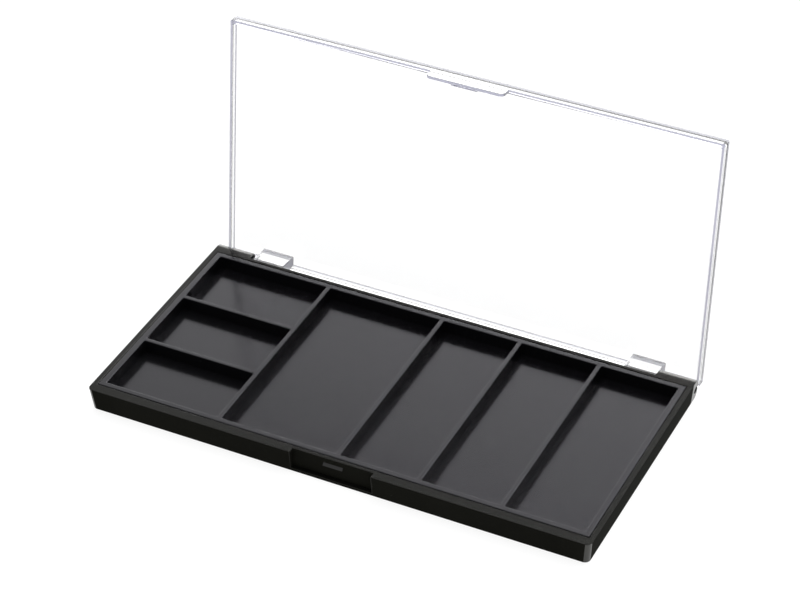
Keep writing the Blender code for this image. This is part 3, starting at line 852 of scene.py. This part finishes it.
class PALETTE_OT_insert(bpy.types.Operator):
    """Build the insert, with its wells laid out by Geometry Nodes"""

    bl_idname = "palette.insert"
    bl_label = "Well insert"
    bl_options = {"REGISTER", "UNDO"}

    def execute(self, context):
        wells = context.scene.palette_insert
        size = INSERT_HIGH - INSERT_LOW
        black = black_plastic("insert_black", wells.tint, wells.sheen, wells.gloss, FLOOR_MOULD)
        insert = object_from("palette_insert", bmesh.new())
        nodes = insert.modifiers.new("wells", "NODES")
        nodes.node_group = WellTree().tree
        values = {
            "Width": size.x,
            "Depth": size.y,
            "Height": size.z,
            "Side Rim": wells.rim_side,
            "End Rim": wells.rim_end,
            "Divider": wells.divider,
            "Wide Well": wells.wide_well,
            "Well Depth": wells.well_depth,
            "Well Floor": wells.well_floor,
            "Corner Radius": wells.corner_radius,
            "Small Wells": wells.small_rows,
            "Narrow Wells": wells.narrow_wells,
            "Material": black,
        }
        for name, value in values.items():
            set_input(nodes, name, value)
        bake(insert)
        if not insert.data.polygons:
            raise RuntimeError("the well insert's node tree made no faces")
        middle = (INSERT_LOW + INSERT_HIGH) / 2
        insert.data.transform(Matrix.Translation((middle.x, middle.y, INSERT_LOW.z)))
        clean(insert)
        soften_edges(insert, wells.edge, outer_only=True)
        self.paint_wall_shade(insert, black, wells)
        finish_piece(insert, "base", "insert_black", "well_insert")
        return {"FINISHED"}

    def paint_wall_shade(self, insert, black, wells):
        """Gives the wells' walls a copy of the black plastic with a weaker reflection, which paints shade on
        them. The floors and the flat top keep the stronger reflection.
        """
        painted_shade_copy = black_plastic(
            "insert_wall_painted_shade", wells.tint, wells.sheen, wells.wall_gloss, DULL_MOULD, shine=wells.painted_shade_shine
        )
        insert.data.materials.clear()
        for finish in (black, painted_shade_copy):
            insert.data.materials.append(finish)
        polished, painted_shade_walls = range(2)
        for face in insert.data.polygons:
            face.material_index = painted_shade_walls if abs(face.normal.z) < 0.3 else polished


# ---------------------------------------------------------------- lid


class ClosedLid:
    """The lid's places as it lies closed."""

    def __init__(self, lid, tray):
        self.x = TRAY_HIGH.x - lid.side_inset
        self.front = TRAY_LOW.y + lid.end_inset
        self.rear = TRAY_HIGH.y - lid.end_inset
        self.bottom = TRAY_HIGH.z + lid.gap
        self.inner = self.bottom + lid.rim_height
        self.top = self.inner + lid.plate
        self.lug_outer = TRAY_HIGH.x - tray.knuckle_width - lid.lug_gap
        self.lug_inner = self.lug_outer - lid.lug_width
        lean = CLOSING_ANGLE - math.pi / 2
        to_wall = AXIS.y - (TRAY_HIGH.y - tray.knuckle_depth)
        heel_back = self.rear - AXIS.y
        self.heel_drop = (to_wall - lid.stop_gap - heel_back * math.sin(lean)) / math.cos(lean)


class PALETTE_OT_lid(bpy.types.Operator):
    """Build the clear lid with its rim, hinge lugs and catch tongue"""

    bl_idname = "palette.lid"
    bl_label = "Lid"
    bl_options = {"REGISTER", "UNDO"}

    def execute(self, context):
        lid = context.scene.palette_lid
        tray = context.scene.palette_tray
        at = ClosedLid(lid, tray)
        bm = box_bmesh((-at.x, at.front, at.bottom), (at.x, at.rear, at.top))
        round_edges(bm, lid.corner_radius, uprights(bm, lid.plate), CORNER_SEGMENTS)
        rear = at.rear - 1e-7
        round_edges(bm, lid.rear_radius, edges_where(bm, lambda co: co.y > rear and co.z > at.inner))
        made = object_from("clear_lid", bm)
        hollow = box_bmesh(
            (-at.x + lid.rim_width, at.front + lid.rim_width, at.bottom - OVERRUN),
            (at.x - lid.rim_width, at.rear - lid.rim_width, at.inner),
        )
        round_edges(hollow, lid.corner_radius, uprights(hollow, lid.plate), CORNER_SEGMENTS)
        combine(made, object_from("hollow", hollow), "DIFFERENCE")
        for side, label in SIDES:
            spans = sorted((side * at.lug_inner, side * at.lug_outer))
            combine(made, prism("lug_" + label, self.lug_outline(at), along_x, *spans), "UNION")
        back = at.front + lid.tongue_thickness
        combine(made, prism("tongue", self.tongue_outline(at, lid, tray), along_y, at.front, back), "UNION")
        half = lid.bead_width / 2
        combine(made, prism("bead", self.bead_outline(at, lid, tray), along_x, -half, half), "UNION")
        for side, _label in SIDES:
            spans = sorted((side * (at.lug_inner - OVERRUN), side * (at.lug_outer + lid.lug_gap / 2)))
            hole = PIN_HIGH.z - AXIS.z + lid.pin_clearance
            combine(made, rod("hole", hole, *spans), "DIFFERENCE")
        clean(made)
        soften_edges(made, lid.edge)
        made.data.materials.clear()
        made.data.materials.append(clear_plastic("lid_clear", lid))
        # The second material is the painted glow for the edges.
        made.data.materials.append(clear_plastic("lid_edge_painted_glow", lid, lid.painted_glow_clarity))
        self.paint_edge_glow(made, at, lid)
        swing = Matrix.Translation(AXIS) @ Matrix.Rotation(-CLOSING_ANGLE, 4, "X")
        made.data.transform(swing @ Matrix.Translation(-AXIS))
        finish_piece(made, "lid", "lid_clear", "lid")
        return {"FINISHED"}

    def paint_edge_glow(self, made, at, lid):
        """Paints a glow on the edges of the plate, lugs and tongue: a less clear, lavender copy of the clear
        plastic, in the colour of light that runs through the plate.
        """
        bm = bmesh.new()
        bm.from_mesh(made.data)
        everything = bm.verts[:] + bm.edges[:] + bm.faces[:]
        bmesh.ops.bisect_plane(bm, geom=everything, dist=1e-6, plane_co=(0, 0, at.inner), plane_no=(0, 0, 1))
        # Index 1 is the painted-glow copy.
        clear, edge = range(2)
        for face in bm.faces:
            has_painted_glow = self.shows_painted_glow(face.calc_center_median(), face.normal, at, lid)
            face.material_index = edge if has_painted_glow else clear
        bm.to_mesh(made.data)
        bm.free()

    def shows_painted_glow(self, centre, normal, at, lid):
        """True on the faces that get the painted glow, where the light in the plate would come out."""
        side = abs(centre.x) > at.x - lid.edge
        end = centre.y < at.front + lid.edge or centre.y > at.rear - lid.rear_radius
        if (side or end) and centre.z > at.inner:
            return abs(normal.z) < 0.9
        in_front = centre.y < at.front + lid.rim_width + lid.edge
        on_rim_edge = abs(centre.z - at.bottom - lid.edge / 2) < lid.edge
        if in_front and on_rim_edge and 0.2 < abs(normal.z) < SQUARE_ON:
            return True
        if centre.z > at.bottom:
            return False
        on_tongue = centre.y < 0
        on_lug = centre.y > AXIS.y - at.heel_drop
        return (on_tongue and abs(normal.y) < 0.9) or (on_lug and abs(normal.x) > 0.9)

    def lug_outline(self, at):
        """The lug from the side: a half barrel round the pin in front, and a square heel behind."""
        top = (at.inner + at.top) / 2
        outline = [(AXIS.y - at.heel_drop, top)]
        outline += arc((AXIS.y, AXIS.z), at.heel_drop, 180, 270)
        return outline + [(at.rear, AXIS.z - at.heel_drop), (at.rear, top)]

    def tongue_outline(self, at, lid, tray):
        """The tongue from the front: a tab with two round lower corners."""
        half = tray.recess_width / 2 - lid.tongue_gap
        bottom = at.bottom - lid.tongue_drop
        top = at.bottom + lid.rim_height / 2
        radius = lid.tongue_radius
        outline = [(half, top), (-half, top)]
        outline += arc((-half + radius, bottom + radius), radius, 180, 270)
        return outline + arc((half - radius, bottom + radius), radius, 270, 360)

    def bead_outline(self, at, lid, tray):
        """The bead on the tongue's inner face."""
        face = at.front + lid.tongue_thickness
        reach = TRAY_LOW.y + tray.recess_depth - tray.nub_reach - lid.catch_clearance
        bottom = at.bottom - lid.tongue_drop
        root = face - lid.tongue_thickness / 2
        middle = bottom + lid.bead_height / 2
        flat = lid.bead_height / 8
        return [
            (root, bottom),
            (face, bottom),
            (reach, middle - flat),
            (reach, middle + flat),
            (face, bottom + lid.bead_height),
            (root, bottom + lid.bead_height),
        ]


# ---------------------------------------------------------------- hinge pins


class PALETTE_OT_pins(bpy.types.Operator):
    """Build the two steel hinge pins"""

    bl_idname = "palette.pins"
    bl_label = "Hinge pins"
    bl_options = {"REGISTER", "UNDO"}

    def execute(self, context):
        pins = context.scene.palette_pins
        steel = drawn_steel("pin_steel", pins)
        radius = PIN_HIGH.z - AXIS.z
        for side, label in SIDES:
            low, high = sorted((side * PIN_LOW.x, side * PIN_HIGH.x))
            pin = rod("steel_pin_" + label, radius, low, high)
            soften_edges(pin, pins.chamfer, segments=2)
            pin.data.materials.append(steel)
            finish_piece(pin, "base", "pin_steel", "hinge_pin_" + label)
        return {"FINISHED"}


# ---------------------------------------------------------------- studio


class PALETTE_OT_studio(bpy.types.Operator):
    """Build the table, the soft lights and the camera"""

    bl_idname = "palette.studio"
    bl_label = "Studio"
    bl_options = {"REGISTER", "UNDO"}

    def execute(self, context):
        studio = context.scene.palette_studio
        self.add_floor(studio)
        self.add_sky(context, studio)
        self.add_overhead(studio)
        self.add_camera(context, studio)
        context.scene.view_settings.view_transform = "Standard"
        return {"FINISHED"}

    def add_floor(self, studio):
        bm = bmesh.new()
        bmesh.ops.create_grid(bm, x_segments=1, y_segments=1, size=6.0)
        floor = object_from("studio_floor", bm)
        if floor.data.polygons[0].normal.z < 0:
            floor.data.flip_normals()
        floor.location.z = TRAY_LOW.z - 0.05 * MM
        made, tree, shader = new_material("studio_paper")
        fibres = noise(tree, object_coordinates(tree), 220.0, detail=3.0)
        level = ramp(tree, fibres, ((0.3, 0.97), (0.7, 1.0)))
        paper = blend(tree, 1.0, studio.floor_tint, level, "MULTIPLY")
        tree.links.new(paper, shader.inputs["Base Color"])
        shader.inputs["Roughness"].default_value = 0.9
        shader.inputs["Specular IOR Level"].default_value = 0.1
        shader.inputs["Emission Color"].default_value = (1.0, 1.0, 1.0, 1.0)
        shader.inputs["Emission Strength"].default_value = studio.floor_glow
        floor.data.materials.append(made)

    def add_sky(self, context, studio):
        """A pale dome: brightest low down behind the palette, dimmer overhead and behind the viewer."""
        world = bpy.data.worlds.new("studio_sky")
        world.use_nodes = True
        context.scene.world = world
        tree = world.node_tree
        back = tree.nodes["Background"]
        direction = add_node(tree, "ShaderNodeTexCoord").outputs["Generated"]
        way = add_node(tree, "ShaderNodeSeparateXYZ", {0: direction})
        behind = calc(tree, "MULTIPLY", way.outputs["Y"], 0.92)
        away = calc(tree, "MULTIPLY_ADD", way.outputs["Z"], -0.40, behind)
        low, high = studio.sky_front, studio.sky_top
        stops = ((0.15, low), (0.45, high), (0.655, high), (0.715, 1.0), (0.80, 1.0), (0.86, studio.sky_low))
        level = ramp(tree, calc(tree, "MULTIPLY_ADD", away, 0.5, 0.5), stops)
        tree.links.new(level, back.inputs["Color"])
        back.inputs["Strength"].default_value = studio.sky

    def add_overhead(self, studio):
        """One large soft light, above and a little behind the palette."""
        light = bpy.data.lights.new("overhead", "AREA")
        light.shape = "SQUARE"
        light.size = 1.3
        light.energy = studio.key
        made = bpy.data.objects.new("overhead", light)
        bpy.context.scene.collection.objects.link(made)
        made.location = (0.15, 0.25, 1.1)
        to_palette = Vector((0.0, 0.02, 0.0)) - made.location
        made.rotation_euler = to_palette.to_track_quat("-Z", "Y").to_euler()

    def add_camera(self, context, studio):
        camera = bpy.data.cameras.new("camera")
        camera.lens = studio.lens
        camera.sensor_width = 36.0
        camera.clip_start = 0.05
        camera.clip_end = 30.0
        made = bpy.data.objects.new("camera", camera)
        context.scene.collection.objects.link(made)
        a, e = studio.azimuth, studio.elevation
        back = Vector((math.sin(a) * math.cos(e), -math.cos(a) * math.cos(e), math.sin(e)))
        made.location = Vector(studio.aim) + back * studio.distance
        turn = (-back).to_track_quat("-Z", "Y").to_matrix().to_4x4()
        made.rotation_euler = (turn @ Matrix.Rotation(studio.roll, 4, "Z")).to_euler()
        context.scene.camera = made


# ---------------------------------------------------------------- panel and registration


SETTINGS = {
    "palette_tray": TraySettings,
    "palette_insert": InsertSettings,
    "palette_lid": LidSettings,
    "palette_pins": PinSettings,
    "palette_studio": StudioSettings,
}
OPERATORS = (PALETTE_OT_tray, PALETTE_OT_insert, PALETTE_OT_lid, PALETTE_OT_pins, PALETTE_OT_studio)


class PALETTE_PT_panel(bpy.types.Panel):
    """Lists the palette's pieces with their sizes and colours"""

    bl_idname = "PALETTE_PT_panel"
    bl_label = "Watercolour palette"
    bl_space_type = "VIEW_3D"
    bl_region_type = "UI"
    bl_category = "Palette"

    def draw(self, context):
        for operator, (name, settings) in zip(OPERATORS, SETTINGS.items()):
            box = self.layout.box()
            box.operator(operator.bl_idname)
            for key in settings.__annotations__:
                box.prop(getattr(context.scene, name), key)


def register():
    for name, settings in SETTINGS.items():
        bpy.utils.register_class(settings)
        setattr(bpy.types.Scene, name, bpy.props.PointerProperty(type=settings))
    for item in (*OPERATORS, PALETTE_PT_panel):
        bpy.utils.register_class(item)


def unregister():
    for item in reversed((*OPERATORS, PALETTE_PT_panel)):
        bpy.utils.unregister_class(item)
    for name, settings in SETTINGS.items():
        delattr(bpy.types.Scene, name)
        bpy.utils.unregister_class(settings)


def main():
    register()
    bpy.ops.palette.tray()
    bpy.ops.palette.insert()
    bpy.ops.palette.lid()
    bpy.ops.palette.pins()
    bpy.ops.palette.studio()


if __name__ == "__main__":
    main()
